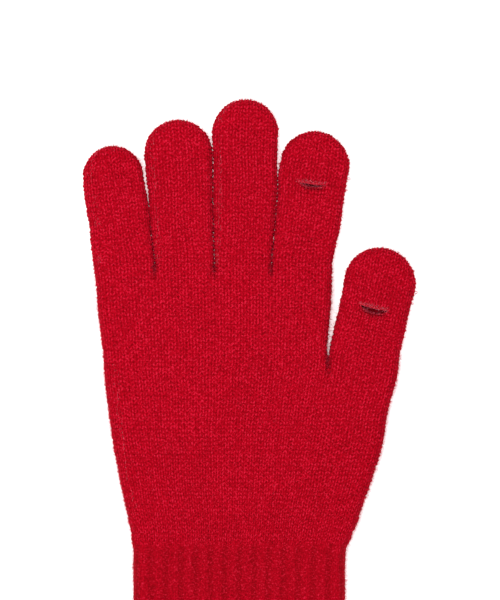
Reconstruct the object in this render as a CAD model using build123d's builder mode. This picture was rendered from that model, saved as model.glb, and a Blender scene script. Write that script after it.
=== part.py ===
"""A knitted touchscreen glove for the right hand, lying flat on its back with the palm up.

The glove is knitted in one piece, section by section: five finger tubes, the band that joins
four of them, the palm that takes in the thumb, and the ribbed cuff.  Each section is a
flattened tube of cloth.  Where the cloth bends, a short soft sleeve stands between two
sections.  The index finger and the thumb have a slit across the palm side, and the cap
beyond the slit folds over onto the back of the finger.

Origin: the middle of the wrist line on the surface that the glove lies on.
+Y runs to the fingertips, +X to the thumb and +Z up out of the palm.  Millimetres.
"""
import os
from math import acos, cos, degrees, radians, sin, tan

from build123d import *

os.makedirs("parts", exist_ok=True)

# ---- Cloth ----
wall = 1.4                  # one layer of the plain knit
rib_wall = 2.0              # one layer of the ribbed cuff
side_flat = 0.5             # height of the flat left between the roundings of a tube's side
gap = 0.3                   # clear space between two sections that move against each other

# ---- Palm, in which the five fingers come together ----
palm_thickness = 8.6
wrist_width = 81.0
palm_length = 72.0          # wrist line to the thumb's crotch
palm_top_left = -52.5       # side of the palm at the crotch of the thumb
palm_top_right = 61.7
palm_bow_left = 1.6         # how far each side bows out of its straight line
palm_bow_right = 3.4

# ---- Knuckle band, which joins four fingers ----
band_length = 35.2          # thumb's crotch to the crotches of the fingers
band_left = -56.1           # side of the little finger at the top of the band

# ---- Fingers, in the order in which they stand on the band ----
finger_thickness = 7.4
crotch_gap = 0.8            # between two neighbours at their crotch
fingers = {
    "little": dict(base=23.2, tip=23.3, length=45.6, lean=-7.1, first=6.3, second=6.3),
    "ring": dict(base=21.9, tip=25.7, length=55.6, lean=-3.3, first=10.0, second=9.0),
    "middle": dict(base=21.3, tip=25.4, length=63.4, lean=1.2, first=13.0, second=12.0),
    "index": dict(base=23.1, tip=25.9, length=51.4, lean=7.5, first=5.3, second=5.2),
}
thumb = dict(base=27.3, tip=27.0, length=42.1, lean=12.2, first=6.0)

# ---- Slits, across the palm side of the index finger and the thumb ----
slit_below_tip = {"index": 19.8, "thumb": 22.7}
slit_width = {"index": 9.2, "thumb": 10.4}
slit_edge_height = 1.1      # along the finger
slit_edge_rise = 0.7        # out of the cloth
slit_edge_round = 0.3       # along its top edges
hinge_width = 16.0          # strip of cloth at the back that the cap turns on
hinge_height = 2.4

# ---- Cuff ----
cuff_thickness = 9.4
cuff_length = 66.0          # wrist line to the open edge, with the overlocked edge
cuff_edge_length = 4.0
cuff_edge_growth = 0.5      # how far the overlocked edge stands out all round
elastic_rows = 8
elastic_height = 0.9
elastic_depth = 0.7

# ---- Bends: how far each one turns, in degrees ----
wrist_bend = 70.0
base_bend = 70.0
middle_bend = 80.0
tip_bend = 44.0
thumb_base_bend = 40.0
thumb_tip_bend = 55.0

# ---- Values that follow from the sizes above ----
far = 400.0                                 # wider than the whole glove
spare = 12.0                                # length past a cut, trimmed off by the cut
band_top = palm_length + band_length
band_width = sum(f["base"] for f in fingers.values()) + (len(fingers) - 1) * crotch_gap
band_right = band_left + band_width
thumb_left = palm_top_right - thumb["base"]
band_foot_right = thumb_left - crotch_gap


def bend_room(thickness, angle):
    """Length of the soft sleeve that lets two ends of this thickness turn to the angle."""
    return thickness * tan(radians(angle / 2)) + gap


wrist_room = bend_room(cuff_thickness, wrist_bend)
base_room = bend_room(finger_thickness, base_bend)
middle_room = bend_room(finger_thickness, middle_bend)
tip_room = bend_room(finger_thickness, tip_bend)
thumb_base_room = bend_room(finger_thickness, thumb_base_bend)
thumb_tip_room = bend_room(finger_thickness, thumb_tip_bend)


def flat_tube(outline, thickness, cloth):
    """A tube of cloth lying flat: the outline's pillow, less the room inside it."""
    with BuildPart() as room:
        with BuildSketch(Plane.XY.offset(cloth)):
            add(outline)
            offset(amount=-cloth, kind=Kind.INTERSECTION, mode=Mode.REPLACE)
        extrude(amount=thickness - 2 * cloth)
        fillet(room.edges().filter_by(Axis.Z, reverse=True), (thickness - side_flat) / 2 - cloth)
    with BuildPart() as tube:
        with BuildSketch():
            add(outline)
        extrude(amount=thickness)
        fillet(tube.edges().filter_by(Axis.Z, reverse=True), (thickness - side_flat) / 2)
        add(room.part, mode=Mode.SUBTRACT)
    return tube.part


def tangent_point(start, centre, radius, side):
    """Where the line from start touches the circle, on its left (-1) or right (1) side."""
    reach = Vector(*start) - Vector(*centre)
    turn = degrees(acos(radius / reach.length)) * side
    return Vector(*centre) + reach.normalized().rotate(Axis.Z, turn) * radius


def finger_outline(left, foot, size):
    """Outline of a finger: two straight sides that run into a round tip."""
    radius = size["tip"] / 2
    reach = size["length"] - radius
    lean = radians(size["lean"])
    along = Vector(sin(lean), cos(lean))
    middle = Vector(left + size["base"] / 2, foot)
    centre = middle + along * reach
    touch_left = tangent_point((left, foot), (centre.X, centre.Y), radius, -1)
    touch_right = tangent_point((left + size["base"], foot), (centre.X, centre.Y), radius, 1)
    foot_left = Vector(left, foot) - (touch_left - Vector(left, foot)).normalized() * spare
    foot_right = middle + Vector(size["base"] / 2, 0)
    foot_right = foot_right - (touch_right - foot_right).normalized() * spare
    with BuildSketch() as outline:
        with BuildLine():
            Line(foot_left, touch_left)
            ThreePointArc(touch_left, centre + along * radius, touch_right)
            Line(touch_right, foot_right)
            Line(foot_right, foot_left)
        make_face()
    return outline.sketch


def slab(y_from, y_to):
    """Everything between two heights across the whole glove."""
    with BuildPart() as block:
        with Locations((0, (y_from + y_to) / 2, 0)):
            Box(far, y_to - y_from, far)
    return block.part


def write(piece, name):
    """Label a finished piece and write it as its own file."""
    piece.part.label = name
    export_step(piece.part, f"parts/{name}.step")


# ---- Palm ----
with BuildSketch() as palm_outline:
    with BuildLine():
        left_foot = Vector(-wrist_width / 2, 0)
        left_top = Vector(palm_top_left, palm_length)
        right_foot = Vector(wrist_width / 2, 0)
        right_top = Vector(palm_top_right, palm_length)
        left_side = ThreePointArc(
            left_foot, (left_foot + left_top) / 2 - Vector(palm_bow_left, 0), left_top)
        right_side = ThreePointArc(
            right_foot, (right_foot + right_top) / 2 + Vector(palm_bow_right, 0), right_top)
        left_over = left_top + (left_side % 1) * spare
        right_over = right_top + (right_side % 1) * spare
        left_under = left_foot - (left_side % 0) * spare
        right_under = right_foot - (right_side % 0) * spare
        Line(left_top, left_over)
        Line(left_over, right_over)
        Line(right_over, right_top)
        Line(left_foot, left_under)
        Line(left_under, right_under)
        Line(right_under, right_foot)
    make_face()
palm_tube = flat_tube(palm_outline.sketch, palm_thickness, wall)

with BuildPart() as palm_body:
    add(palm_tube)
    add(slab(wrist_room / 2, palm_length), mode=Mode.INTERSECT)
write(palm_body, "palm_body")

# ---- Knuckle band ----
with BuildSketch() as band_outline:
    with BuildLine():
        slope_left = (band_left - palm_top_left) / band_length
        slope_right = (band_right - band_foot_right) / band_length
        Polyline(
            (palm_top_left - slope_left * spare, palm_length - spare),
            (band_left + slope_left * spare, band_top + spare),
            (band_right + slope_right * spare, band_top + spare),
            (band_foot_right - slope_right * spare, palm_length - spare),
            close=True)
    make_face()
with BuildPart() as knuckle_band:
    add(flat_tube(band_outline.sketch, palm_thickness, wall))
    add(slab(palm_length, band_top), mode=Mode.INTERSECT)
write(knuckle_band, "knuckle_band")

# ---- Wrist sleeve and cuff ----
with BuildPart() as wrist_sleeve:
    add(palm_tube)
    add(slab(-wrist_room / 2 + gap, wrist_room / 2), mode=Mode.INTERSECT)
write(wrist_sleeve, "wrist_sleeve")

rib_foot = -cuff_length + cuff_edge_length
with BuildSketch() as cuff_outline:
    with Locations((0, -cuff_length / 2)):
        Rectangle(wrist_width, cuff_length + 2 * spare)
cuff_tube = flat_tube(cuff_outline.sketch, cuff_thickness, rib_wall)

elastic_pitch = (-wrist_room / 2 - rib_foot) / (elastic_rows + 1)
elastic_heights = [rib_foot + elastic_pitch * (row + 1) for row in range(elastic_rows)]
with BuildSketch() as elastic_outline:
    with Locations((0, -cuff_length / 2)):
        Rectangle(wrist_width - 2 * (rib_wall - elastic_depth), cuff_length + 2 * spare)
with BuildPart() as elastic_tube:
    add(flat_tube(elastic_outline.sketch, cuff_thickness - 2 * (rib_wall - elastic_depth),
                  elastic_depth).moved(Location((0, 0, rib_wall - elastic_depth))))

with BuildPart() as cuff_elastic:
    for height in elastic_heights:
        add(elastic_tube.part & slab(height - elastic_height / 2, height + elastic_height / 2))
write(cuff_elastic, "cuff_elastic")

with BuildPart() as rib_cuff:
    add(cuff_tube)
    add(slab(rib_foot, -wrist_room / 2), mode=Mode.INTERSECT)
    add(cuff_elastic.part, mode=Mode.SUBTRACT)
write(rib_cuff, "rib_cuff")

with BuildSketch() as edge_outline:
    with Locations((0, -cuff_length / 2)):
        Rectangle(wrist_width + 2 * cuff_edge_growth, cuff_length + 2 * spare)
with BuildPart() as cuff_edge:
    add(flat_tube(edge_outline.sketch, cuff_thickness + cuff_edge_growth,
                  rib_wall + cuff_edge_growth / 2))
    add(slab(-cuff_length, rib_foot), mode=Mode.INTERSECT)
write(cuff_edge, "cuff_edge")


# ---- Caps beyond a slit, with the cloth that they turn on ----
def slit_plane(name, left, foot, size):
    """The plane across a finger at its slit: x across the finger, y along it, z up."""
    lean = radians(size["lean"])
    along = size["length"] - slit_below_tip[name]
    place = Vector(left + size["base"] / 2, foot) + Vector(sin(lean), cos(lean)) * along
    return Plane(origin=place, x_dir=(cos(lean), -sin(lean), 0), z_dir=(0, 0, 1))


def write_slit_parts(name, tube, tip_foot, plane):
    """The short tube below a slit, the cap above it, their edges and the cap's hinge."""
    across = plane.location
    strip = Location((0, 0, wall / 2))
    seat = Box(hinge_width, hinge_height, wall, mode=Mode.PRIVATE)
    pocket = Box(hinge_width + 2 * gap, hinge_height + 2 * gap, wall, mode=Mode.PRIVATE)
    with BuildPart() as tip:
        add(tube)
        add(slab(tip_foot, tip_foot + far), mode=Mode.INTERSECT)
        with Locations(across * Location((0, far / 2 - gap / 2, 0))):
            Box(far, far, far, mode=Mode.SUBTRACT)
        add(seat.moved(across * strip), mode=Mode.SUBTRACT)
    write(tip, f"{name}_tip")

    with BuildPart() as cap:
        add(tube)
        with Locations(across * Location((0, far / 2 + gap / 2, 0))):
            Box(far, far, far, mode=Mode.INTERSECT)
        add(pocket.moved(across * strip), mode=Mode.SUBTRACT)
    write(cap, f"{name}_cap")

    with BuildPart() as cap_hinge:
        with Locations(across * strip):
            Box(hinge_width, hinge_height, wall)
    write(cap_hinge, f"{name}_cap_hinge")

    for edge, side in (("lower", -1), ("upper", 1)):
        middle = side * (gap + slit_edge_height) / 2
        with BuildPart() as slit_edge:
            with Locations(across * Location((0, middle, finger_thickness + slit_edge_rise / 2))):
                Box(slit_width[name], slit_edge_height, slit_edge_rise)
            top = slit_edge.faces().sort_by(Axis.Z)[-1]
            fillet(top.edges(), slit_edge_round)
        write(slit_edge, f"{name}_slit_{edge}_edge")


# ---- The four fingers of the band ----
left = band_left
for name, size in fingers.items():
    tube = flat_tube(finger_outline(left, band_top, size), finger_thickness, wall)
    first_foot = band_top + base_room
    first_top = first_foot + size["first"]
    second_foot = first_top + middle_room
    second_top = second_foot + size["second"]
    tip_foot = second_top + tip_room

    with BuildPart() as base_sleeve:
        add(tube)
        add(slab(band_top, first_foot - gap), mode=Mode.INTERSECT)
    write(base_sleeve, f"{name}_base_sleeve")

    with BuildPart() as first:
        add(tube)
        add(slab(first_foot, first_top), mode=Mode.INTERSECT)
    write(first, f"{name}_first")

    with BuildPart() as middle_sleeve:
        add(tube)
        add(slab(first_top, second_foot - gap), mode=Mode.INTERSECT)
    write(middle_sleeve, f"{name}_middle_sleeve")

    with BuildPart() as second:
        add(tube)
        add(slab(second_foot, second_top), mode=Mode.INTERSECT)
    write(second, f"{name}_second")

    with BuildPart() as tip_sleeve:
        add(tube)
        add(slab(second_top, tip_foot - gap), mode=Mode.INTERSECT)
    write(tip_sleeve, f"{name}_tip_sleeve")

    if name in slit_width:
        write_slit_parts(name, tube, tip_foot, slit_plane(name, left, band_top, size))
    else:
        with BuildPart() as tip:
            add(tube)
            add(slab(tip_foot, far), mode=Mode.INTERSECT)
        write(tip, f"{name}_tip")
    left = left + size["base"] + crotch_gap

# ---- The thumb, which stands on the palm ----
thumb_tube = flat_tube(finger_outline(thumb_left, palm_length, thumb), finger_thickness, wall)
thumb_first_foot = palm_length + thumb_base_room
thumb_first_top = thumb_first_foot + thumb["first"]
thumb_tip_foot = thumb_first_top + thumb_tip_room

with BuildPart() as thumb_base_sleeve:
    add(thumb_tube)
    add(slab(palm_length, thumb_first_foot - gap), mode=Mode.INTERSECT)
write(thumb_base_sleeve, "thumb_base_sleeve")

with BuildPart() as thumb_first:
    add(thumb_tube)
    add(slab(thumb_first_foot, thumb_first_top), mode=Mode.INTERSECT)
write(thumb_first, "thumb_first")

with BuildPart() as thumb_tip_sleeve:
    add(thumb_tube)
    add(slab(thumb_first_top, thumb_tip_foot - gap), mode=Mode.INTERSECT)
write(thumb_tip_sleeve, "thumb_tip_sleeve")

write_slit_parts("thumb", thumb_tube, thumb_tip_foot,
                 slit_plane("thumb", thumb_left, palm_length, thumb))
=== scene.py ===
"""Looks of a knitted touchscreen glove: plain knit in V stitches, ribbed cuff, slit fingertips.

Shapes are worked out in millimetres on grids of two parameters, around a tube of cloth and
along it, and are turned into metres when the mesh is made.  Front is the palm side, up.
"""
import math

import bpy
import numpy as np
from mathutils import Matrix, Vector
from mathutils.bvhtree import BVHTree


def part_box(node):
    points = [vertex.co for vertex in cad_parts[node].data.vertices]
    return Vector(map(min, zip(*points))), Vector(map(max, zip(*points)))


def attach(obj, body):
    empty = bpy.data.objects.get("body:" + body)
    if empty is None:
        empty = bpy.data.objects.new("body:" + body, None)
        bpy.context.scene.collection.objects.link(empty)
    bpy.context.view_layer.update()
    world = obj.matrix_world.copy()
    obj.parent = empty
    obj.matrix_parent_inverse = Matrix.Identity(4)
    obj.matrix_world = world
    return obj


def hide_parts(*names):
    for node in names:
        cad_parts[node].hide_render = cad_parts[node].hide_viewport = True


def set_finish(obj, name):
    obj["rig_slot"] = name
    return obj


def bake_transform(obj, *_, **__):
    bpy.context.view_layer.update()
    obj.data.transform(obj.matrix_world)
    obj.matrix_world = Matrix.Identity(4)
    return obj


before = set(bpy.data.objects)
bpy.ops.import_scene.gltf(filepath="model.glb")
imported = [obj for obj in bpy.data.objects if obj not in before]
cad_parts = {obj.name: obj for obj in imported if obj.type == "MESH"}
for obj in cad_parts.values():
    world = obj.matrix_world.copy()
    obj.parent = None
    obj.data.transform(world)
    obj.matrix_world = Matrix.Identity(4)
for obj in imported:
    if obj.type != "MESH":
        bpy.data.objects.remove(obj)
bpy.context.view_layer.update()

MM = 0.001

# ---- The yarn and the stitches, in millimetres ----
COURSE = 1.6                # height of one row of stitches
WALE_STEPS = 6              # grid columns across one stitch
COURSE_STEPS = 5            # grid rows along one stitch
CLOTH = 1.4                 # thickness of one layer of the plain knit
RIB_CLOTH = 2.0             # thickness of one layer of the cuff
STITCH_DEPTH = 0.85         # from the crest of a stitch to the groove beside it
PLUMP = 0.28                # how far the grooved cloth's outline stands out to keep its width
FINGER_WALES = 9            # stitches across one finger where it leaves the hand
THUMB_WALES = 11
SIDE_ROUND = 3.0            # how far the rounding of a side reaches into the front
PINCH_ROUND = 1.3           # the same beside a crotch, where two fingers press together
LEAST_ROUND = 0.4           # smallest rounding, on the inside of the cloth
FOLD_SHARE = 0.49           # height of the fold at a side, as a share of the thickness
FRONT_INSET, BACK_INSET = 0.12, 0.22    # how deep the sheet lies in the front and the back
CROWN, BACK_CROWN = 0.5, 0.12           # how much the middle stands out past its edges
RIBS = 14                   # ribs across the front of the cuff
RIB_DEPTH = 0.62
SETTLE = 15.0               # length in which a finger takes its own section above the crotch
PRESSED = 0.07              # how far a finger reaches into a neighbour that it touches
CUT = 0.008                 # half of the clear space where a cap leaves its finger
TIP_LEFT = 0.25             # length at a tip that is gathered to one point
UP = np.array([0.0, 0.0, 1.0])

# Two neighbours, and the height above their crotch up to which they touch.
NEIGHBOURS = (("little", "ring", 20.0), ("ring", "middle", 44.0), ("middle", "index", 33.0))

# For each slit, how far its upper lip bows down and how wide it gapes.
SLIT_SHAPES = {"index": (0.3, 1.6), "thumb": (0.6, 2.5)}


def smooth(t):
    """Eases from 0 to 1: three t squared less two t cubed, held outside the range."""
    t = np.clip(t, 0.0, 1.0)
    return t * t * (3.0 - 2.0 * t)


def mix(low, high, share):
    """Share of the way from low to high."""
    return low + (high - low) * share


def unit(vectors):
    """Each vector over its length."""
    return vectors / np.maximum(np.linalg.norm(vectors, axis=-1, keepdims=True), 1e-9)


# ---- Soft noise, the same at every run ----
LATTICE = np.random.default_rng(7).uniform(-1.0, 1.0, (6, 256, 256))


def soft_noise(u, v, layer=0):
    """Random values on whole numbers of u and v, eased between the four nearest."""
    ui, vi = np.floor(u).astype(int), np.floor(v).astype(int)
    fu, fv = smooth(u - ui), smooth(v - vi)
    table = LATTICE[layer]
    near = mix(table[ui % 256, vi % 256], table[(ui + 1) % 256, vi % 256], fu)
    far = mix(table[ui % 256, (vi + 1) % 256], table[(ui + 1) % 256, (vi + 1) % 256], fu)
    return mix(near, far, fv)


# ---- Sizes read from the frame ----
def corners(node):
    """Lowest and highest corner of a CAD node, in millimetres."""
    low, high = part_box(node)
    return np.array(low) / MM, np.array(high) / MM


def tree_of(node):
    """Search tree of a CAD node's triangles, for finding where its sides lie."""
    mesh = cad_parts[node].data
    return BVHTree.FromPolygons([v.co for v in mesh.vertices], [p.vertices for p in mesh.polygons])


def side_at(tree, y, z, side):
    """x of the outermost cloth on the left (-1) or right (1) at one y and z."""
    hit = tree.ray_cast(Vector((side * 0.3, y * MM, z * MM)), Vector((-side, 0.0, 0.0)))[0]
    return hit.x / MM


palm_low, palm_high = corners("palm_body")
BAND_TOP = corners("knuckle_band")[1][1]
cuff_low, cuff_high = corners("rib_cuff")
PALM_TOP, WRIST_REACH = palm_high[1], palm_low[1]
PALM_THICK, CUFF_THICK = palm_high[2], cuff_high[2]
FINGER_THICK = corners("middle_first")[1][2]
CUFF_FOOT, EDGE_FOOT = cuff_low[1], corners("cuff_edge")[0][1]



def sides_of(node, rows):
    """x of the left side and of the right side of a CAD node at each of the rows."""
    tree = tree_of(node)
    return [np.array([side_at(tree, y, PALM_THICK / 2, side) for y in rows]) for side in (-1, 1)]


palm_rows = np.linspace(palm_low[1] + 0.05, PALM_TOP - 0.05, 24)
palm_lefts, palm_rights = sides_of("palm_body", palm_rows)
band_rows = np.array([PALM_TOP + 0.05, BAND_TOP - 0.05])
band_lefts, band_rights = sides_of("knuckle_band", band_rows)


def straight(y, ys, xs):
    """The line through the first and the last of the given points, at y."""
    return xs[0] + (xs[-1] - xs[0]) * (y - ys[0]) / (ys[-1] - ys[0])


def left_edge(y):
    """Left side of the hand: the cuff's straight side, the palm's bow, the band's slant."""
    palm = np.interp(y, palm_rows, palm_lefts)
    hand = np.where(y > PALM_TOP, straight(y, band_rows, band_lefts), palm)
    return mix(cuff_low[0], hand, smooth((y + 3.0) / (WRIST_REACH + 3.0)))


def right_edge(y):
    """Right side of the hand below the thumb's crotch: the cuff, then the palm's bow, drawn in
    by 1.3 mm below the thumb and let out by 1.2 mm above the wrist, each in a bell curve."""
    palm = np.interp(y, palm_rows, palm_rights)
    palm = palm - 1.3 * np.exp(-((y - 51.0) / 9.0) ** 2)
    foot = mix(cuff_high[0], palm, smooth((y + 3.0) / (WRIST_REACH + 3.0)))
    return foot + 1.2 * np.exp(-((y - 6.0) / 7.0) ** 2)


def band_right_edge(y):
    """Right side of the knuckle band, beside the thumb."""
    return straight(y, band_rows, band_rights)


class Tube:
    """A finger or the thumb: where it stands, how it leans, how wide it is and how it ends."""

    def __init__(self, name, foot, wales, open_side=""):
        self.wales = wales
        self.half_wales = (wales + 3) / 2
        self.open_left, self.open_right = open_side == "left", open_side == "right"
        tip_y = corners(f"{name}_tip")[0][1] + 0.05
        rise = tip_y - foot
        places = ((tree_of(f"{name}_base_sleeve"), foot + 0.05), (tree_of(f"{name}_tip"), tip_y))
        lefts, rights = [np.array([side_at(tree, y, FINGER_THICK / 2, side) for tree, y in places])
                         for side in (-1, 1)]
        middle, half = (lefts + rights) / 2, (rights - lefts) / 2
        self.foot = np.array([middle[0], foot])
        slope = (middle[1] - middle[0]) / rise
        self.axis = np.array([slope, 1.0]) / math.hypot(slope, 1.0)
        self.side = np.array([self.axis[1], -self.axis[0]])
        self.half_foot = half[0] * self.axis[1]
        self.spread = (half[1] - half[0]) / rise * self.axis[1]
        top = corners(f"{name}_cap" if name in SLIT_SHAPES else f"{name}_tip")[1][1]
        self.reach = (top - foot - self.half_foot) / (self.axis[1] * (1 + self.spread))
        self.tip_round = self.half_foot + self.spread * self.reach * self.axis[1]
        self.length = self.reach + self.tip_round * math.pi / 2
        alone = (9.0, 0.0, -9.0)
        self.room = {-1: alone, 1: alone}


TUBES = {
    "little": Tube("little", BAND_TOP, FINGER_WALES, "left"),
    "ring": Tube("ring", BAND_TOP, FINGER_WALES),
    "middle": Tube("middle", BAND_TOP, FINGER_WALES),
    "index": Tube("index", BAND_TOP, FINGER_WALES, "right"),
    "thumb": Tube("thumb", PALM_TOP, THUMB_WALES, "right"),
}


# Between two neighbours: half of their room at their feet and for each millimetre up, the
# height up to which they touch, and where their crotch lies.
FINGER_CROTCHES = []
for first, second, height in NEIGHBOURS:
    one, other = TUBES[first], TUBES[second]
    foot = (other.foot[0] - other.half_foot) - (one.foot[0] + one.half_foot)
    climb = (other.axis[0] - other.spread) - (one.axis[0] + one.spread)
    one.room[1] = other.room[-1] = (foot / 2, climb / 2, height)
    right_of_one = one.foot[0] + one.half_foot / one.axis[1]
    left_of_other = other.foot[0] - other.half_foot / other.axis[1]
    FINGER_CROTCHES.append((right_of_one + left_of_other) / 2)
THUMB_CROTCH = (band_rights[0] + (TUBES["thumb"].foot[0] - TUBES["thumb"].half_foot)) / 2
BAND_WALES = 4 * FINGER_WALES
PALM_WALES = BAND_WALES + THUMB_WALES


# ---- Stitches ----
def plain_stitches(a, b):
    """Height from 0 to 1 of plain knit at wale a and course b.

    Each wale holds two slanting strands that form a V: a strand climbs 0.8 of a course from
    the wale's middle to its edge.  Across a strand the height is a rounded ridge, and the ridges
    sink towards the grooves at the wale's middle and, more, between two wales."""
    a = a + 0.05 * soft_noise(a * 0.7, b * 0.5, 0)
    b = b + 0.10 * soft_noise(a * 0.9, b * 0.6, 1)
    half = np.abs(a - np.floor(a) - 0.5)
    climb = b - half / 0.5 * 0.8
    across = climb - np.floor(climb) - 0.5
    ridge = np.sqrt(np.clip(1.0 - (2.0 * np.abs(across)) ** 2, 0.0, 1.0))
    groove = np.clip(np.sin(np.pi * np.clip(0.12 + half * 1.52, 0.0, 1.0)), 0.0, 1.0)
    loose = 1.0 + 0.30 * soft_noise(a * 3.3, b * 2.1, 2)
    return np.clip((0.05 + 0.95 * ridge) * groove * loose, 0.0, 1.15)


def rib_stitches(rib, b):
    """Height from 0 to 1 of the cuff: two plain wales raised on each rib, one sunk between."""
    rib = rib + 0.04 * soft_noise(rib * 0.8, b * 0.25, 3)
    across = rib - np.floor(rib)
    furrow = 0.75 * (0.5 + 0.5 * np.cos(2 * np.pi * across)) ** 1.6
    wale = np.clip((across - 0.16) / 0.68, 0.0, 1.0) * 2.0
    plain = plain_stitches(wale, b)
    return (1.0 - furrow) * (0.35 + 0.65 * plain) + furrow * (0.10 + 0.30 * plain)


# ---- Section of a flattened tube ----
def rounding(depth, inward, rise):
    """Side rounding of a tube, a quarter ellipse unrolled: cloth at this depth from the fold
    lies `inset` in from the outline and `height` above the tube's middle.  Past the quarter
    the cloth runs flat.  Returns inset, height and the shift from unrolled to real place."""
    quarter = math.pi / 2 * np.sqrt((inward ** 2 + rise ** 2) / 2)
    spill = quarter - inward
    turn = np.clip(depth / quarter, 0.0, 1.0) * math.pi / 2
    inset = np.where(depth < quarter, inward * (1 - np.cos(turn)), depth - spill)
    return inset, rise * np.sin(turn), depth - spill - inset


def spill_of(inward, rise):
    """How much wider the unrolled cloth is than the outline, on one side."""
    return math.pi / 2 * np.sqrt((inward ** 2 + rise ** 2) / 2) - inward


def drift(points):
    """Slow unevenness of the lying cloth: a third of a millimetre over some centimetres."""
    x, y = points[..., 0], points[..., 1]
    shift = np.zeros_like(points)
    shift[..., 0] = 0.30 * soft_noise(x / 19 + 3, y / 11, 4) + 0.12 * soft_noise(x / 5, y / 4, 5)
    shift[..., 1] = 0.20 * soft_noise(x / 13, y / 17 + 9, 5)
    up = np.clip(points[..., 2:3] / PALM_THICK, 0.0, 1.0)
    shift[..., 2:3] = up * 0.35 * soft_noise(x / 12, y / 14, 0)[..., None]
    return points + shift


def ring_parameters(columns):
    """Places around a tube: across the front from left to right, then back behind it.
    Returns the share across, from -1 to 1, and 1 on the front or -1 on the back."""
    across = np.linspace(-1.0, 1.0, columns + 1)
    share = np.concatenate([across, across[-2:0:-1]])
    face = np.concatenate([np.ones(columns + 1), -np.ones(columns - 1)])
    return share[None, :], face[None, :]


def pinch(x, crotch, share):
    """How far a tube's height drops beside a crotch: a quarter ellipse down to nothing."""
    near = np.clip((np.abs(x - crotch) - 0.3) / PINCH_ROUND, 0.0, 1.0)
    return 1.0 - share * (1.0 - np.sqrt(1.0 - (1.0 - near) ** 2))


def crotch_shift(wale):
    """How far the wales at the top of the band lie from even spacing, to meet the fingers."""
    marks = np.linspace(0, BAND_WALES, 5)
    even = np.linspace(band_lefts[1], band_rights[1], 5)
    return np.interp(wale, marks, np.array([even[0], *FINGER_CROTCHES, even[4]]) - even)


def heights(thick):
    """Middle height, front rise and back rise of a tube of cloth this thick."""
    middle = thick * FOLD_SHARE
    return middle, thick - middle - CROWN - FRONT_INSET, middle - BACK_INSET


def hand_heights(y):
    """The same for the cuff, the palm and the band."""
    return heights(mix(PALM_THICK, CUFF_THICK, smooth((1.5 - y) / 5.0)))


def crowned(height, face, inset, half):
    """Height with 1 - (1 - inset / half) ** 4 of the crown's full rise added."""
    share = 1 - (1 - np.clip(inset / half, 0, 1)) ** 4
    return height + np.where(face > 0, CROWN, BACK_CROWN) * share


def hand_sheet(share, face, y, upper=False):
    """Cuff, palm and band: columns follow the wales, which draw together to the wrist.
    The wales of the thumb split off along a line from the thumb's crotch to the wrist.
    Returns points and wale."""
    middle, front_rise, back_rise = hand_heights(y)
    rise = np.where(face > 0, front_rise, back_rise)
    left = left_edge(y) - PLUMP
    wales = BAND_WALES if upper else PALM_WALES
    wale = (share + 1) / 2 * (wales + 2) - 1
    round_right = SIDE_ROUND
    if upper:
        right = band_right_edge(y) + PLUMP
        round_right = mix(PINCH_ROUND, SIDE_ROUND, smooth((y - PALM_TOP) / SETTLE))
        x = left + (right - left) * wale / wales
        x = x + crotch_shift(wale) * smooth((y - PALM_TOP) / (BAND_TOP - PALM_TOP))
    else:
        right = right_edge(y) + PLUMP
        foot_split = mix(left_edge(0.0), right_edge(0.0), BAND_WALES / PALM_WALES)
        split = mix(foot_split, THUMB_CROTCH, np.clip(y / PALM_TOP, -0.1, 1.0))
        past = wale - BAND_WALES
        x = np.where(past > 0, split + (right - split) * past / THUMB_WALES,
                     left + (split - left) * wale / BAND_WALES)
    spill_left, spill_right = spill_of(SIDE_ROUND, rise), spill_of(round_right, rise)
    x = np.where(wale < 0, left + spill_left * wale, x)
    x = np.where(wale > wales, right + spill_right * (wale - wales), x)
    depth_left, depth_right = x - left + spill_left, right + spill_right - x
    on_left = depth_left < depth_right
    depth = np.where(on_left, depth_left, depth_right)
    inward = np.where(on_left, SIDE_ROUND, round_right)
    inset, height, shift = rounding(depth, inward, rise)
    x = x - np.where(on_left, 1, -1) * shift
    height = crowned(height, face, inset, (right - left) / 2)
    if upper:
        for crotch in FINGER_CROTCHES:
            height = height * pinch(x, crotch, smooth((y - BAND_TOP + 9.0) / 9.0) ** 1.5)
    else:
        height = height * pinch(x, THUMB_CROTCH, smooth((y - PALM_TOP + 12.0) / 12.0) ** 1.5)
    points = np.stack([x, y + 0 * x, middle + face * height], axis=-1)
    return drift(points), wale


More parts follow.
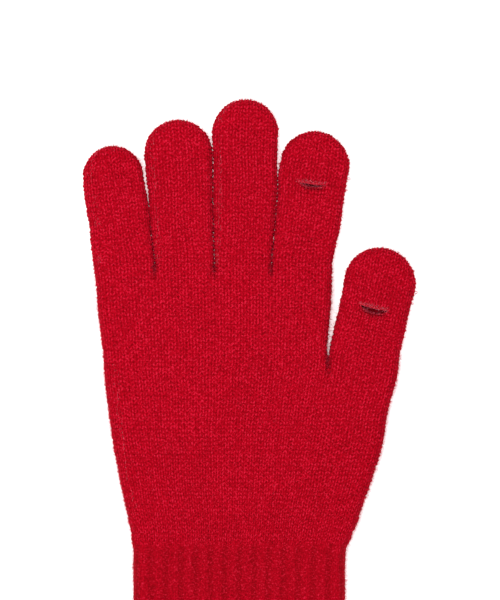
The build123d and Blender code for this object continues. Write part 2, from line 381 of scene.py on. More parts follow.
def tube_sheet(tube, share, face, q, inside):
    """A finger or the thumb: a flattened tube with straight sides and a half-round end.
    q is the distance along the axis, and past the end's centre the turn around it.
    Returns points, wale, unrolled height along the axis and x across it."""
    settled = smooth(q / SETTLE)
    middle, front_rise, back_rise = heights(mix(PALM_THICK, FINGER_THICK, settled))
    rise = np.where(face > 0, front_rise, back_rise) - inside
    pinched = mix(PINCH_ROUND, SIDE_ROUND, settled)
    inward_left, inward_right = [
        SIDE_ROUND if free else pinched for free in (tube.open_left, tube.open_right)]
    inward = np.where(share < 0, inward_left, inward_right) - 0.6 * inside
    inward = np.maximum(inward, LEAST_ROUND)
    spill = spill_of(inward, rise)
    turn = np.clip((q - tube.reach) / tube.tip_round, 0.0, math.pi / 2)
    in_end = q > tube.reach
    straight_q = np.minimum(q, tube.reach)
    half = np.where(in_end, tube.tip_round, tube.half_foot + tube.spread * straight_q * tube.axis[1])
    reach_out = {}
    for hand in (-1, 1):
        foot, climb, touching = tube.room[hand]
        close = np.clip(foot + climb * straight_q + PRESSED, 0.0, 1.4)
        reach_out[hand] = mix(close, PLUMP, smooth((straight_q - touching) / 9.0))
    half = half + (reach_out[-1] + reach_out[1]) / 2 - inside
    sideways = (reach_out[1] - reach_out[-1]) / 2
    wide = half + spill
    flat_share = tube.wales / 2 / tube.half_wales
    beside = np.clip(np.abs(share) - flat_share, 0, 1) / (1 - flat_share)
    met = np.sign(share) * (np.minimum(np.abs(share) / flat_share, 1) * half + beside * spill) / wide
    x = mix(met, share, settled) * wide * np.cos(turn)
    up = wide * np.sin(turn)
    away = np.maximum(np.hypot(x, up), 1e-6)
    depth = np.where(in_end, wide - away, wide - np.abs(x))
    inset, height, shift = rounding(depth, inward, rise)
    out_x = np.where(in_end, x / away, np.sign(x))
    out_up = np.where(in_end, up / away, 0.0)
    wale = tube.half_wales * mix(share, x / wide, settled) + tube.wales / 2
    unrolled = straight_q + up
    x = x + out_x * shift
    along = unrolled + out_up * shift
    height = crowned(height, face, inset, half)
    side = mix(np.array([1.0, 0.0]), tube.side, settled[..., None])
    flat = tube.foot + along[..., None] * tube.axis + (x + sideways)[..., None] * side
    points = np.concatenate([flat, (middle + face * height)[..., None]], axis=-1)
    return drift(points), wale, unrolled, x


# ---- Meshes ----
def keep_rims_sharp(mesh, rims):
    """Mark the edges whose two ends both lie in one of the given runs of points, so that the
    rounding of a rim doesn't show as a line between two pieces of cloth."""
    ends = np.zeros(len(mesh.edges) * 2, np.int32)
    mesh.edges.foreach_get("vertices", ends)
    ends = ends.reshape(-1, 2)
    sharp = np.zeros(len(ends), bool)
    for first, count in rims:
        sharp |= ((ends >= first) & (ends < first + count)).all(axis=1)
    mark = mesh.attributes.new("sharp_edge", "BOOLEAN", "EDGE")
    mark.data.foreach_set("value", sharp)


def put_mesh(name, points, quads, triangles, nap, flat_map=None, rims=()):
    """Make an object of points in millimetres, faces, a tone per point for the colour (painted shade
    where it is low, painted highlight where it is high) and a flat map in which each block of faces
    has its own rectangle."""
    loops = np.concatenate([quads.ravel(), triangles.ravel()]).astype(np.int32)
    starts = np.concatenate([np.arange(len(quads)) * 4,
                             len(quads) * 4 + np.arange(len(triangles)) * 3]).astype(np.int32)
    mesh = bpy.data.meshes.new(name)
    mesh.vertices.add(len(points))
    mesh.vertices.foreach_set("co", (points * MM).astype(np.float32).ravel())
    mesh.loops.add(len(loops))
    mesh.loops.foreach_set("vertex_index", loops)
    mesh.polygons.add(len(starts))
    mesh.polygons.foreach_set("loop_start", starts)
    mesh.polygons.foreach_set("use_smooth", np.ones(len(starts), bool))
    mesh.update(calc_edges=True)
    if rims:
        keep_rims_sharp(mesh, rims)
    if flat_map is not None:
        layer = mesh.uv_layers.new(name="OFBake")
        layer.data.foreach_set("uv", np.concatenate(flat_map).astype(np.float32).ravel())
    # The tone per point carries painted shade in the grooves and painted highlight on the crests.
    attribute = mesh.attributes.new("nap", "FLOAT", "POINT")
    attribute.data.foreach_set("value", np.zeros(len(points), np.float32) + np.float32(nap))
    mesh.validate()
    piece = bpy.data.objects.new(name, mesh)
    bpy.context.scene.collection.objects.link(piece)
    return piece


def square_faces(rows, columns, first, flip):
    """Faces of a grid that closes on itself across its columns, numbered from first."""
    i, j = np.arange(rows - 1)[:, None], np.arange(columns)[None, :]
    after = (j + 1) % columns
    a, b = first + i * columns + j, first + i * columns + after
    c, d = first + (i + 1) * columns + after, first + (i + 1) * columns + j
    order = (a, d, c, b) if flip else (a, b, c, d)
    return np.stack(np.broadcast_arrays(*order), axis=-1).reshape(-1, 4)


def laid_out(*ring):
    """Flat map of faces whose corners are given in turn, each as an array of u and one of v."""
    corners_uv = [np.stack(np.broadcast_arrays(*corner), axis=-1) for corner in ring]
    return np.stack(corners_uv, axis=-2).reshape(-1, 2)


def square_map(rows, columns, low, high, flip):
    """Flat map of a grid between two heights of the unit square."""
    i, j = np.arange(rows - 1)[:, None], np.arange(columns)[None, :]
    left, right = j / columns, (j + 1) / columns
    foot, head = [low + (high - low) * row / (rows - 1) for row in (i, i + 1)]
    ring = [(left, foot), (right, foot), (right, head), (left, head)]
    if flip:
        ring = [ring[0], ring[3], ring[2], ring[1]]
    return laid_out(*ring)


def rim_map(columns, low):
    """Flat map of one row of rim faces, a thin strip."""
    j = np.arange(columns)
    left, right, high = j / columns, (j + 1) / columns, low + 0.015
    return laid_out((left, low), (left, high), (right, high), (right, low))


def fan_map(columns, low, high, flip):
    """Flat map of the triangles around a tip."""
    j = np.arange(columns)
    left, right = j / columns, (j + 1) / columns
    first, second = (right, left) if flip else (left, right)
    return laid_out((first, low), (second, low), ((left + right) / 2, high))


def fan(first, second, pole):
    """Triangles from a run of edges to one point."""
    return np.stack([first, second, np.full(len(first), pole)], axis=-1)


NO_TRIANGLES = np.zeros((0, 3), int)


def cloth_shell(name, outer, inner, nap, tips=None):
    """A closed piece of cloth: outer grid, inner grid, and the rims that join them.  With tips,
    an outer and an inner point, the last rows are gathered to them instead of a rim."""
    rows, columns = outer.shape[:2]
    base = rows * columns
    last, inner_last = base - columns, base + (len(inner) - 1) * columns
    j = np.arange(columns)
    after = (j + 1) % columns
    points = [outer.reshape(-1, 3), inner.reshape(-1, 3)]
    # The inner cloth gets a low tone: painted shade inside the tube.
    tone = [nap.ravel(), np.full(len(points[1]), 0.35)]
    quads = [square_faces(rows, columns, 0, False), square_faces(len(inner), columns, base, True),
             np.stack([j, base + j, base + after, after], axis=-1)]
    flat = [square_map(rows, columns, 0.0, 0.82, False),
            square_map(len(inner), columns, 0.86, 0.96, True), rim_map(columns, 0.835)]
    triangles = NO_TRIANGLES
    rims = [(0, columns), (base, columns)]
    if tips is None:
        quads.append(
            np.stack([last + j, last + after, inner_last + after, inner_last + j], axis=-1))
        flat.append(rim_map(columns, 0.975))
        rims += [(last, columns), (inner_last, columns)]
    else:
        pole = inner_last + columns
        points.append(np.stack(tips))
        # The outer tip point gets a middle tone, the inner one the painted shade of the inside.
        tone.append(np.array([0.6, 0.35]))
        triangles = np.concatenate([fan(last + j, last + after, pole),
                                    fan(inner_last + after, inner_last + j, pole + 1)])
        flat += [fan_map(columns, 0.82, 0.83, False), fan_map(columns, 0.96, 0.97, True)]
    return put_mesh(name, np.concatenate(points), np.concatenate(quads), triangles,
                    np.concatenate(tone), flat, rims)


def capped_tube(name, rings, foot, head, nap):
    """A closed piece of rings in a row, gathered to one point at each end."""
    rows, columns = rings.shape[:2]
    j = np.arange(columns)
    after = (j + 1) % columns
    pole, top = rows * columns, (rows - 1) * columns
    caps = np.concatenate([fan(j, after, pole), fan(top + after, top + j, pole + 1)])
    flat = [square_map(rows, columns, 0.05, 0.95, True),
            fan_map(columns, 0.03, 0.04, False), fan_map(columns, 0.96, 0.97, True)]
    return put_mesh(name, np.concatenate([rings.reshape(-1, 3), foot, head]),
                    square_faces(rows, columns, 0, True), caps, nap, flat)


def endless_tube(name, rings, nap):
    """A closed piece of rings in a row, the last of which meets the first."""
    rows, columns = rings.shape[:2]
    quads = square_faces(rows + 1, columns, 0, True) % (rows * columns)
    flat = [square_map(rows + 1, columns, 0.0, 1.0, True)]
    return put_mesh(name, rings.reshape(-1, 3), quads, NO_TRIANGLES, nap, flat)


def outward(sheet, row):
    """Unit direction out of a sheet: the cross product of its run around and its run along."""
    step = 0.05
    here, along = sheet(row), sheet(row + step) - sheet(row - step)
    around = np.roll(here, -1, axis=1) - np.roll(here, 1, axis=1)
    return unit(np.cross(around, along))


# ---- Lengths of cloth, kept for the loose fibres that grow on them ----
CLOTH_PIECES = []


def rib_share(y):
    """1 in the ribbed cuff and 0 in the plain palm, eased over the wrist line."""
    return smooth((1.2 - y) / 3.5)


def hand_piece(name, low, high, upper=False):
    """One length of the hand between two heights, in plain knit above the wrist line and
    in rib below it."""
    wales = BAND_WALES if upper else PALM_WALES
    columns = (wales + 2) * WALE_STEPS
    share, face = ring_parameters(columns)
    rows = max(3, round((high - low) / COURSE * COURSE_STEPS) + 1)
    y = np.linspace(low, high, rows)[:, None]

    def points_at(row):
        return hand_sheet(share, face, row, upper)[0]

    base, wale = hand_sheet(share, face, y, upper)
    normal = outward(points_at, y)
    plain = plain_stitches(wale, y / COURSE)
    rib_place = (share + 1) / 2 * (RIBS + 1) + 0.5
    rib = rib_stitches(rib_place, y / COURSE)
    ribbed = rib_share(y)
    lift = mix(STITCH_DEPTH * (plain - 0.85), RIB_DEPTH * (rib - 0.9), ribbed)
    # Tone for the colour from the stitch height: painted shade in the grooves and rib furrows,
    # painted highlight on the crests.
    nap = mix(plain, 0.19 + 0.45 * rib, ribbed)
    outer = base + normal * lift[..., None]
    inner_y = np.linspace(low, high, max(2, round((high - low) / 4) + 1))[:, None]
    ribbed = rib_share(inner_y)
    thick = mix(CLOTH, RIB_CLOTH, ribbed)
    hollow = ribbed * 0.6 * RIB_DEPTH * (rib_stitches(rib_place, 0 * inner_y) - 0.8)
    inner = points_at(inner_y) - outward(points_at, inner_y) * (thick - hollow)[..., None]
    middle = hand_heights(inner_y)[0]
    inner[..., 2] = np.where(face > 0, np.maximum(inner[..., 2], middle + 0.1),
                             np.minimum(inner[..., 2], middle - 0.1))
    piece = cloth_shell(name, outer, inner, nap)
    CLOTH_PIECES.append((piece, outer, normal))
    return piece


def tube_piece(tube, name, low, high=None, lip=None, slit=None):
    """One length of a finger, up to its tip if it has no high end.  lip is "lower" or "upper"
    beside a slit: the lower lip sinks and the upper one stands up, over the slit's width."""
    columns = int(round(2 * tube.half_wales)) * WALE_STEPS
    share, face = ring_parameters(columns)
    to_tip = high is None
    end = tube.length - TIP_LEFT if to_tip else high
    if lip == "upper":
        low = low + CUT
    elif lip == "lower":
        end = end - CUT
    rows = max(3, round((end - low) / COURSE * COURSE_STEPS) + 1)
    q = np.linspace(low, end, rows)[:, None]

    def shaped(row, inside=0.0):
        points, wale, unrolled, x = tube_sheet(tube, share, face, row, inside)
        if slit is not None:
            points = part_lips(tube, points, x, face, row - slit["at"], slit, lip)
        return points, wale, unrolled

    base, wale, unrolled = shaped(q)
    normal = outward(lambda row: shaped(row)[0], q)
    course = (tube.foot[1] + unrolled) / COURSE
    plain = plain_stitches(wale + FINGER_WALES * 40, course)
    outer = base + normal * (STITCH_DEPTH * (plain - 0.85))[..., None]
    inner_q = np.linspace(low, end, max(3, round((end - low) / 2.5) + 1))[:, None]
    inner = shaped(inner_q, CLOTH)[0]
    tips = None
    if to_tip:
        tips = [tube_sheet(tube, share[:, :1] * 0, face[:, :1], np.full((1, 1), tube.length),
                           inside)[0][0, 0] for inside in (0.0, CLOTH)]
    # The stitch height also sets the colour's tone: painted shade in the grooves, painted highlight
    # on the crests.
    piece = cloth_shell(name, outer, inner, plain, tips)
    CLOTH_PIECES.append((piece, outer, normal))
    return piece


def part_lips(tube, points, x, face, past, slit, lip):
    """Opens a slit: over its width both lips bow down like a smile, the lower one more, so
    that a gap shows.  The upper lip rises off the finger.  The lower one sinks at its rim,
    swells into a fold 1.5 mm below it and has a crease 3 mm below it."""
    mouth = np.clip(1 - (x / slit["half"]) ** 2, 0.0, 1.0) ** 0.5 * (face > 0)
    away = np.abs(past)
    if lip == "upper":
        down = slit["bow"] * mouth * np.exp(-away / 3.5)
        up = slit["rise"] * mouth * np.exp(-away / 1.8)
    else:
        down = (slit["bow"] + slit["gap"]) * mouth * np.exp(-away / 3.0)
        up = mouth * (0.6 * np.exp(-((away - 1.5) / 0.7) ** 2)
                      - slit["sink"] * np.exp(-(away / 0.8) ** 2)
                      - 0.6 * np.exp(-((away - 3.0) / 0.8) ** 2))
    return points + np.stack([-down * tube.axis[0], -down * tube.axis[1], up], axis=-1)


def swept(name, path, radius, turns, closed=False, sides=8, wave=0.2):
    """A two-ply cord along a path: the section is a circle whose radius swells twice around,
    and the swell winds along the path.  Open ends are closed by a point."""
    if closed:
        along = unit(np.roll(path, -1, axis=0) - np.roll(path, 1, axis=0))
    else:
        along = unit(np.gradient(path, axis=0))
    sideways = unit(np.cross(along, UP))
    upright = np.cross(sideways, along)
    angle = np.arange(sides)[None, :, None] / sides * 2 * np.pi
    wind = np.arange(len(path))[:, None, None] / len(path) * 2 * np.pi * turns
    swell = radius * (1 + wave * np.cos(2 * angle - wind))
    rings = path[:, None] + swell * (
        np.cos(angle) * sideways[:, None] + np.sin(angle) * upright[:, None])
    if closed:
        return endless_tube(name, rings, 0.8)
    point = along * radius * 0.6
    return capped_tube(name, rings, path[:1] - point[:1], path[-1:] + point[-1:], 0.8)


# ---- Materials ----
def adds_node(operation, reflected=False):
    """An operator of Value: it adds one Math node, with its operands swapped if reflected."""

    def operator(value, other):
        first, second = (other, value) if reflected else (value, other)
        return value.paint.value(
            "ShaderNodeMath", {"operation": operation}, {0: first, 1: second})

    return operator


class Value:
    """A number socket with arithmetic: + - * / and their reflected forms add Math nodes."""

    def __init__(self, paint, socket):
        self.paint, self.socket = paint, socket

    __add__, __radd__ = adds_node("ADD"), adds_node("ADD", True)
    __sub__, __rsub__ = adds_node("SUBTRACT"), adds_node("SUBTRACT", True)
    __mul__, __rmul__ = adds_node("MULTIPLY"), adds_node("MULTIPLY", True)
    __truediv__, __rtruediv__ = adds_node("DIVIDE"), adds_node("DIVIDE", True)


class Paint:
    """A material under construction: every node comes from node(), which sets the node's
    settings first and its sockets after them."""

    def __init__(self, name):
        self.material = bpy.data.materials.new(name)
        self.material.use_nodes = True
        self.tree = self.material.node_tree
        self.tree.nodes.clear()

    def node(self, kind, settings=None, sockets=None):
        made = self.tree.nodes.new(kind)
        for key, setting in (settings or {}).items():
            if key == "stops":
                self.set_stops(made.color_ramp, setting)
            else:
                setattr(made, key, setting)
        for key, given in (sockets or {}).items():
            if isinstance(given, Value):
                given = given.socket
            if isinstance(given, bpy.types.NodeSocket):
                self.tree.links.new(given, made.inputs[key])
            else:
                made.inputs[key].default_value = given
        return made

    def value(self, kind, settings=None, sockets=None, output=0):
        return Value(self, self.node(kind, settings, sockets).outputs[output])

    def set_stops(self, ramp, stops):
        while len(ramp.elements) > 1:
            ramp.elements.remove(ramp.elements[-1])
        ramp.elements[0].position, ramp.elements[0].color = stops[0]
        for place, colour in stops[1:]:
            ramp.elements.new(place).color = colour


def yarn_paint(name, deep, bright, crest, pale, fuzz=0.35, bump=0.35):
    """Wool-like yarn: painted shade in the grooves and painted highlight on the crests, with pale
    loose fibres and slow differences in tone; the strands' fibres are a fine bump."""
    paint = Paint(name)
    place = paint.node("ShaderNodeTexCoord").outputs["Object"]

    def noise(scale, detail, roughness):
        return paint.value("ShaderNodeTexNoise", None, {
            "Vector": place, "Scale": scale, "Detail": detail, "Roughness": roughness})

    # Tone from the stitch height on each point: low in the grooves for painted shade, high on the
    # crests for painted highlight.
    nap = paint.value("ShaderNodeAttribute", {"attribute_name": "nap"}, output="Fac")
    fine, speck, slow = noise(3000.0, 2.0, 0.6), noise(1600.0, 0.0, 0.5), noise(55.0, 2.0, 0.5)
    tone = nap + (speck - 0.5) * 1.0 + (fine - 0.5) * 0.7 + (slow - 0.5) * 0.12
    # The first stop is the painted shade of the grooves, the last a pale painted highlight on the
    # crests.
    body = paint.node("ShaderNodeValToRGB", {"stops": [
        (0.10, (*deep, 1)), (0.80, (*bright, 1)), (1.0, (*crest, 1))]}, {"Fac": tone})
    pale_share = paint.value("ShaderNodeMapRange", {"interpolation_type": "SMOOTHSTEP"}, {
        "Value": speck * 0.5 + fine * 0.5, "From Min": 0.56, "From Max": 0.72,
        "To Min": 0.0, "To Max": fuzz})
    colour = paint.node("ShaderNodeMix", {"data_type": "RGBA"}, {
        0: pale_share, 6: body.outputs["Color"], 7: (*pale, 1)})
    strand = paint.node("ShaderNodeBump", None, {
        "Strength": bump, "Distance": 0.0002, "Height": fine})
    shader = paint.node("ShaderNodeBsdfPrincipled", None, {
        "Base Color": colour.outputs[2], "Roughness": 0.92, "Normal": strand.outputs["Normal"]})
    shader.inputs["Specular IOR Level"].default_value = 0.06
    shader.inputs["Sheen Weight"].default_value = 0.03
    shader.inputs["Sheen Roughness"].default_value = 0.5
    shader.inputs["Sheen Tint"].default_value = (1.0, 0.12, 0.20, 1)
    paint.node("ShaderNodeOutputMaterial", None, {"Surface": shader.outputs["BSDF"]})
    return paint.material


# Each paint gives the painted shade of the grooves, the yarn's colour, the painted highlight of the
# crests and the pale fibres.
knit_paint = yarn_paint("red_plain_knit", (0.22, 0.0, 0.003), (0.47, 0.0002, 0.0105),
                        (0.64, 0.006, 0.030), (0.72, 0.035, 0.09))
lip_paint = yarn_paint("red_bound_edge", (0.24, 0.0005, 0.004), (0.50, 0.006, 0.020),
                       (0.66, 0.05, 0.08), (0.80, 0.20, 0.26), fuzz=0.5)
fibre_paint = yarn_paint("red_loose_fibre", (0.50, 0.005, 0.02), (0.64, 0.012, 0.04),
                         (0.72, 0.05, 0.10), (0.82, 0.16, 0.22), fuzz=0.4, bump=0.0)
fray_paint = yarn_paint("pale_frayed_fibre", (0.55, 0.015, 0.04), (0.76, 0.07, 0.12),
                        (0.86, 0.20, 0.26), (0.92, 0.42, 0.48), fuzz=0.5, bump=0.0)


def dress(piece, material, slot, *nodes):
    """Give a finished piece its material and its slot, and hide the CAD nodes that it stands for."""
    piece.data.materials.append(material)
    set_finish(piece, slot)
    if nodes:
        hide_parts(*nodes)
    return piece


# ---- Loose fibres ----
def fibre_mesh(name, start, out, lead, bend, thick):
    """Loose threads, each three-sided and drawn along three points: from its start it goes
    along lead, bends by bend on the way and gets thinner towards its end."""
    count = len(start)
    steps = np.array([0.0, 0.5, 1.0])[None, :, None]
    path = (start - out * 0.15)[:, None, :] + lead[:, None, :] * steps + bend * steps ** 2
    angle = np.array([0.0, 2 * np.pi / 3, 4 * np.pi / 3])
    across = unit(np.cross(out, lead))
    section = (np.cos(angle)[None, None, :, None] * across[:, None, None, :]
               + np.sin(angle)[None, None, :, None] * out[:, None, None, :])
    taper = np.array([1.0, 0.85, 0.45])[None, :, None, None]
    points = path[:, :, None, :] + thick * taper * section
    first = (np.arange(count) * 9)[:, None, None]
    i, j = np.arange(2)[None, :, None] * 3, np.arange(3)[None, None, :]
    after = (j + 1) % 3
    quads = np.stack(np.broadcast_arrays(
        first + i + j, first + i + after, first + i + 3 + after, first + i + 3 + j),
        axis=-1).reshape(-1, 4)
    ends = (np.arange(count) * 9)[:, None]
    triangles = np.concatenate([ends + np.array([[0, 2, 1]]), ends + np.array([[6, 7, 8]])])
    return put_mesh(name, points.reshape(-1, 3), quads, triangles, 0.8)


def fibres(name, outer, normal, count, seed):
    """Loose fibres that stand out of a sheet, leaning over at random and curling away.
    Most of them start where the cloth turns over a side, and stand up more there."""
    random = np.random.default_rng(seed)
    flat_points, flat_normals = outer.reshape(-1, 3), normal.reshape(-1, 3)
    steep = 1.0 - np.abs(flat_normals[:, 2])
    around = np.linalg.norm(np.roll(outer, -1, axis=1) - outer, axis=-1)
    along = np.linalg.norm(np.gradient(outer, axis=0), axis=-1)
    weight = (around * along).ravel() * (1.0 + 24.0 * steep ** 1.2)
    weight = weight * (flat_points[:, 2] > 0.9)
    chosen = random.choice(len(flat_points), count, p=weight / weight.sum())
    start, out = flat_points[chosen], flat_normals[chosen]
    loose = random.normal(size=(count, 3))
    lying = unit(loose - (loose * out).sum(1, keepdims=True) * out)
    length = mix(0.5, 1.9, random.random((count, 1)) ** 1.6)
    stand = np.clip(random.uniform(0.1, 0.7, (count, 1)) + 0.4 * steep[chosen][:, None], 0, 1)
    lead = length * (lying * (1 - stand) + out * stand)
    bend = length[:, None] * 0.35 * random.normal(size=(count, 1, 3))
    return fibre_mesh(name, start, out, lead, bend, 0.03)


def seam_fibres(name, outer, column, count, seed):
    """Short pale fibres that lie in a streak along one column of a sheet, where the yarn is
    carried from section to section."""
    random = np.random.default_rng(seed)
    rows = random.integers(0, len(outer) - 5, count)
    columns = column + np.round(random.normal(size=count) * 1.6).astype(int)
    start = outer[rows, columns]
    along = unit(outer[rows + 4, columns] - start)
    start = start + UP * random.uniform(-0.15, 0.12, (count, 1))
    length = random.uniform(0.8, 2.6, (count, 1))
    lead = length * (along + 0.10 * random.normal(size=(count, 3)))
    bend = 0.12 * length[:, None] * random.normal(size=(count, 1, 3))
    return fibre_mesh(name, start, UP + 0 * start, lead, bend, 0.05)


def lip_fibres(name, path, out):
    """The frayed fibres of a lip: long, nearly upright ones all along it."""
    random = np.random.default_rng(39)
    count = 260
    chosen = random.integers(6, len(path) - 6, count)
    start = path[chosen] + random.normal(size=(count, 3)) * np.array([0.15, 0.30, 0.12])
    away = random.normal(size=(count, 3)) * np.array([0.9, 0.6, 0.2]) + out
    length = random.uniform(0.5, 1.6, (count, 1))
    lead = length * unit(away)
    bend = length[:, None] * 0.4 * random.normal(size=(count, 1, 3))
    return fibre_mesh(name, start, UP + 0 * start, lead, bend, 0.045)


# ---- How pieces move ----
MOTIONS = {}


def go(piece, act, *how):
    """Let a piece ride on a body or stay in place, and keep how, so that its loose fibres do the
    same.
    """
    MOTIONS[piece.name] = (act, how)
    act(piece, *how)


# ---- Cuff, palm and knuckle band ----
wrist_low, wrist_high = -9.6, 9.6
cuff_foot = CUFF_FOOT + 0.2
cuff_middle, palm_middle = (cuff_foot + wrist_low) / 2, (wrist_high + PALM_TOP) / 2
in_cuff, in_hand = (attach, "cuff"), (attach, "hand")
at_wrist = (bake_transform, "hand", "cuff", (0, WRIST_REACH * MM, 0), (0, cuff_high[1] * MM, 0))
for name, low, high, slot, node, motion in (
        ("cuff_lower_rib_knit", cuff_foot, cuff_middle, "rib_knit", "rib_cuff", in_cuff),
        ("cuff_upper_rib_knit", cuff_middle, wrist_low, "rib_knit", "rib_cuff", in_cuff),
        ("wrist_knit", wrist_low, wrist_high, "plain_knit", "wrist_sleeve", at_wrist),
        ("palm_lower_knit", wrist_high, palm_middle, "plain_knit", "palm_body", in_hand),
        ("palm_upper_knit", palm_middle, PALM_TOP, "plain_knit", "palm_body", in_hand),
        ("knuckle_band_knit", PALM_TOP, BAND_TOP, "plain_knit", "knuckle_band", in_hand)):
    piece = hand_piece(name, low, high, upper=node == "knuckle_band")
    dress(piece, knit_paint, slot, node)
    go(piece, *motion)


# ---- Fingers ----
def halfway(name, node):
    """Distance along a finger of the middle of a CAD node."""
    low, high = corners(node)
    return ((low[1] + high[1]) / 2 - TUBES[name].foot[1]) / TUBES[name].axis[1]


def slit_of(name):
    """Place and shape of a slit, from the bound edges on its two lips."""
    tube = TUBES[name]
    low_edge, high_edge = corners(f"{name}_slit_lower_edge"), corners(f"{name}_slit_upper_edge")
    middle = (low_edge[0] + low_edge[1] + high_edge[0] + high_edge[1]) / 4
    offset = middle[:2] - tube.foot
    bow, gap = SLIT_SHAPES[name]
    return dict(at=float(offset @ tube.axis), half=(low_edge[1][0] - low_edge[0][0]) / 2 + 0.6,
                bow=bow, gap=gap, rise=1.1, sink=1.1)


SLITS = {name: slit_of(name) for name in SLIT_SHAPES}


def finger_length(name, part, low, high, bodies, between, nodes):
    """One length of a finger.  Without a
    high end it runs up to the slit, or to the tip of a finger that has none."""
    tube = TUBES[name]
    if high is None and name in SLITS:
        slit = SLITS[name]
        piece = tube_piece(tube, f"{name}_{part}_knit", low, slit["at"], "lower", slit)
    else:
        piece = tube_piece(tube, f"{name}_{part}_knit", low, high)
    dress(piece, knit_paint, "plain_knit", *nodes)
    below, above = between
    middle, start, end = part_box(above)[0].x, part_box(below)[1].y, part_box(above)[0].y
    go(piece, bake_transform, *bodies, (middle, start, 0), (middle, end, 0))


for name in ("little", "ring", "middle", "index"):
    first, second, tip = f"{name}_first", f"{name}_second", f"{name}_tip"
    lower, upper, end = f"{name}_lower", f"{name}_upper", f"{name}_end"
    first_cut, second_cut = halfway(name, first), halfway(name, second)
    finger_length(name, "root", 0.0, first_cut, ("hand", lower), ("knuckle_band", first),
                  (f"{name}_base_sleeve",))
    finger_length(name, "middle", first_cut, second_cut, (lower, upper), (first, second),
                  (first, f"{name}_middle_sleeve"))
    finger_length(name, "end", second_cut, None, (upper, end), (second, tip),
                  (second, f"{name}_tip_sleeve", tip))

thumb_cut = halfway("thumb", "thumb_first")
finger_length("thumb", "root", 0.0, thumb_cut, ("hand", "thumb_lower"),
              ("palm_body", "thumb_first"), ("thumb_base_sleeve",))
finger_length("thumb", "end", thumb_cut, None, ("thumb_lower", "thumb_end"),
              ("thumb_first", "thumb_tip"), ("thumb_first", "thumb_tip_sleeve", "thumb_tip"))


# ---- Caps beyond the slits, their lips and the cloth that they turn on ----
def lip_path(tube, slit, lip):
    """Line along the rim of a lip, midway through the cloth, a little wider than the slit."""
    reach = (slit["half"] + 0.7) / (tube.half_foot + spill_of(SIDE_ROUND, 3.4))
    share = np.linspace(-reach, reach, 60)[None, :]
    face = np.ones_like(share)
    row = np.full((1, 1), slit["at"])
    layers = []
    for inside in (0.0, CLOTH):
        points, _, _, x = tube_sheet(tube, share, face, row, inside)
        layers.append(part_lips(tube, points, x, face, row - slit["at"], slit, lip)[0])
    return mix(layers[0], layers[1], 0.35)


def hinge_cloth(name):
    """The strip at the back of a slit that the cap turns on: a thin pad of cloth, wide across
    the finger and short along it."""
    tube, slit = TUBES[name], SLITS[name]
    columns, rows = 48, 16
    share = np.linspace(-0.62, 0.62, columns)[None, :]
    row = np.linspace(slit["at"] - 1.3, slit["at"] + 1.3, rows)[:, None]
    back = -np.ones_like(share)
    outer, inner = [tube_sheet(tube, share, back, row, inside)[0] for inside in (0.45, 1.15)]
    rings = np.concatenate([outer, inner[:, ::-1]], axis=1)
    piece = capped_tube(
        f"{name}_hinge_cloth", rings, rings[:1].mean(1), rings[-1:].mean(1), 0.5)
    dress(piece, knit_paint, "plain_knit", f"{name}_cap_hinge")
    place = tube.foot + tube.axis * slit["at"]
    before, beyond = place - tube.axis, place + tube.axis
    go(piece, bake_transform, f"{name}_end", f"{name}_cap", (*(before * MM), 0), (*(beyond * MM), 0))


for name, slit in SLITS.items():
    tube = TUBES[name]
    cap = tube_piece(tube, f"{name}_cap_knit", slit["at"], lip="upper", slit=slit)
    dress(cap, knit_paint, "plain_knit", f"{name}_cap")
    go(cap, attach, f"{name}_cap")
    for lip, body, out in (("lower", f"{name}_end", (0.0, -0.3, 0.5)),
                           ("upper", f"{name}_cap", (0.0, 0.6, 0.6))):
        path = lip_path(tube, slit, lip)
        edge = swept(f"{name}_{lip}_lip", path, 0.32, turns=11.0)
        dress(edge, lip_paint, "bound_edge", f"{name}_slit_{lip}_edge")
        go(edge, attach, body)
        fray = lip_fibres(f"{name}_{lip}_fray", path, np.array(out))
        dress(fray, fray_paint, "bound_edge")
        go(fray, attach, body)
    hinge_cloth(name)


# ---- A few stray loops at the edges ----
def stray_loop(name, tube, q, across, size, body):
    """A loop of yarn pulled out of the side of a finger: a ring, flattened and tilted."""
    share, face = np.full((1, 1), float(across)), np.ones((1, 1))
    root = tube_sheet(tube, share, face, np.full((1, 1), q), 0.0)[0][0, 0]
    turn = np.linspace(0, 2 * np.pi, 28, endpoint=False)
    out = np.array([*(tube.side * across), 0.0])
    ring = (root + out * size * 0.75 + size * (
        np.cos(turn)[:, None] * out + 0.8 * np.sin(turn)[:, None] * np.array([*tube.axis, 0.0])
        + 0.3 * np.sin(turn + 0.7)[:, None] * UP))
    loop = swept(name, ring, 0.11, turns=6, closed=True, sides=6)
    dress(loop, fibre_paint, "plain_knit")
    go(loop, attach, body)


# The thumb's loops hang 3 mm nearer to its tip.
for number, (across, back, size) in enumerate(((1, 3.5, 0.55), (1, 8.0, 0.35), (-1, 1.0, 0.3))):
    for name, nearer in (("index", 0.0), ("thumb", 3.0)):
        tube = TUBES[name]
        stray_loop(f"{name}_stray_loop_{number + 1}", tube, tube.reach - back + nearer, across,
                   size, f"{name}_cap")


# ---- Cuff edge and elastic ----
def cuff_line(y, inside, count):
    """Closed line around the cuff at one height, this deep inside the cloth."""
    share, face = ring_parameters(count // 2)
    row = np.full((1, 1), y)

    def points_at(y):
        return hand_sheet(share, face, y)[0]

    return (points_at(row) - outward(points_at, row) * inside)[0]


EDGE_TURNS = 172            # turns of the edge thread around the cuff


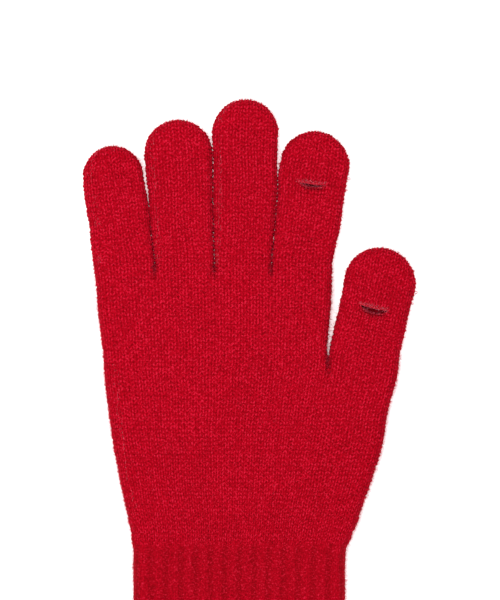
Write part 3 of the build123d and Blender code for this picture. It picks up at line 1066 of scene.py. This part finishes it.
def overlock_edge():
    """The overlocked open edge of the cuff: a soft roll around the end of the cloth, with the
    edge thread wound over it in slanting turns."""
    sides = 20
    ring = cuff_line(CUFF_FOOT + 0.5, RIB_CLOTH / 2, 900)
    count = len(ring)
    along = unit(np.roll(ring, -1, axis=0) - np.roll(ring, 1, axis=0))
    down = np.array([0.0, 1.0, 0.0]) + 0 * along
    out = np.cross(along, down)
    angle = np.arange(sides)[None, :] / sides * 2 * np.pi
    length = np.linspace(0, EDGE_TURNS, count, endpoint=False)[:, None]
    thread = length - angle / np.pi
    wound = 1.0 + 0.13 * np.cos(2 * np.pi * thread) + 0.05 * soft_noise(length * 0.8, angle, 1)
    tall, thick = (CUFF_FOOT - EDGE_FOOT) / 2 + 0.3, RIB_CLOTH / 2 + 0.05
    centre = ring.copy()
    centre[:, 1] = (CUFF_FOOT + EDGE_FOOT) / 2
    points = centre[:, None, :] + (
        (np.sin(angle) * tall * wound)[..., None] * down[:, None, :]
        + (np.cos(angle) * thick * wound)[..., None] * out[:, None, :])
    # Tone from the swell of the wound thread: painted shade between the turns, painted highlight on
    # them.
    nap = np.clip((wound - 0.8) / 0.4, 0, 1)
    return endless_tube("cuff_overlock", points, nap.ravel())


overlock = dress(overlock_edge(), knit_paint, "overlock", "cuff_edge")
go(overlock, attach, "cuff")

elastic_low, elastic_high = corners("cuff_elastic")
for row, height in enumerate(np.linspace(elastic_low[1] + 0.45, elastic_high[1] - 0.45, 8)):
    thread = swept(f"elastic_thread_{row + 1}", cuff_line(height, RIB_CLOTH + 0.05, 360), 0.32,
                   turns=120, closed=True, sides=6, wave=0.12)
    dress(thread, lip_paint, "elastic", *(["cuff_elastic"] if row == 0 else []))
    go(thread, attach, "cuff")

# ---- Loose fibres on every piece of cloth ----
FIBRES_PER_AREA = 0.62      # for each square millimetre

# How far left of the middle a pale streak runs, as a share of half the width.
SEAM_SHARES = {"little": 0.60, "ring": 0.66, "middle": 0.66, "palm": 0.88}
for number, (piece, outer, normal) in enumerate(CLOTH_PIECES):
    wide = np.linalg.norm(np.diff(outer, axis=1), axis=-1)[:-1]
    long = np.linalg.norm(np.diff(outer, axis=0), axis=-1)[:, :-1]
    count = int((wide * long).sum() * FIBRES_PER_AREA)
    fuzz = fibres(f"{piece.name}_fuzz", outer, normal, count, seed=100 + number)
    dress(fuzz, fibre_paint, piece["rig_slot"])
    act, how = MOTIONS[piece.name]
    act(fuzz, *how)
    part = piece.name.split("_")[0]
    if part in SEAM_SHARES:
        column = int((1 - SEAM_SHARES[part]) / 2 * (outer.shape[1] // 2))
        streak = seam_fibres(f"{piece.name}_seam_fibres", outer, column,
                             int(len(outer) * 0.8), seed=300 + number)
        dress(streak, fray_paint, piece["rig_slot"])
        act(streak, *how)

# ---- Floor, light and camera ----
PALE = (0.93, 0.93, 0.935, 1)
floor_paint = Paint("pale_floor")
floor_shader = floor_paint.node("ShaderNodeBsdfPrincipled", None, {
    "Base Color": PALE, "Roughness": 0.9, "Emission Color": PALE, "Emission Strength": 0.7})
floor_paint.node("ShaderNodeOutputMaterial", None, {"Surface": floor_shader.outputs["BSDF"]})

bpy.ops.mesh.primitive_plane_add(size=6.0, location=(0, 0.09, -0.0005))
floor = bpy.context.object
floor.name = "floor"
floor.data.materials.append(floor_paint.material)

centre = Vector((4.04, 93.46, 7.0)) * MM


def soft_light(name, place, size, power):
    """A square area light that faces the middle of the glove."""
    data = bpy.data.lights.new(name, "AREA")
    data.shape, data.size, data.energy = "SQUARE", size, power
    lamp = bpy.data.objects.new(name, data)
    lamp.location = place
    lamp.rotation_euler = (centre - Vector(place)).to_track_quat("-Z", "Y").to_euler()
    bpy.context.scene.collection.objects.link(lamp)
    return lamp


upper_light = soft_light("upper_light", (-0.14, 0.13, 0.50), 0.30, 1.70)
side_light = soft_light("side_light", (0.5, -0.2, 0.9), 0.7, 1.6)

world = bpy.data.worlds.new("studio")
bpy.context.scene.world = world
world.use_nodes = True
sky = world.node_tree.nodes["Background"]
sky.inputs["Color"].default_value = (1, 1, 1, 1)
sky.inputs["Strength"].default_value = 0.585
bpy.context.scene.view_settings.view_transform = "Standard"

lens = bpy.data.cameras.new("camera")
lens.lens, lens.sensor_width = 200, 36
lens.clip_start, lens.clip_end = 0.01, 20
camera = bpy.data.objects.new("camera", lens)
camera.location = centre + Vector((0, 0, 1.2822))
bpy.context.scene.collection.objects.link(camera)
bpy.context.scene.camera = camera
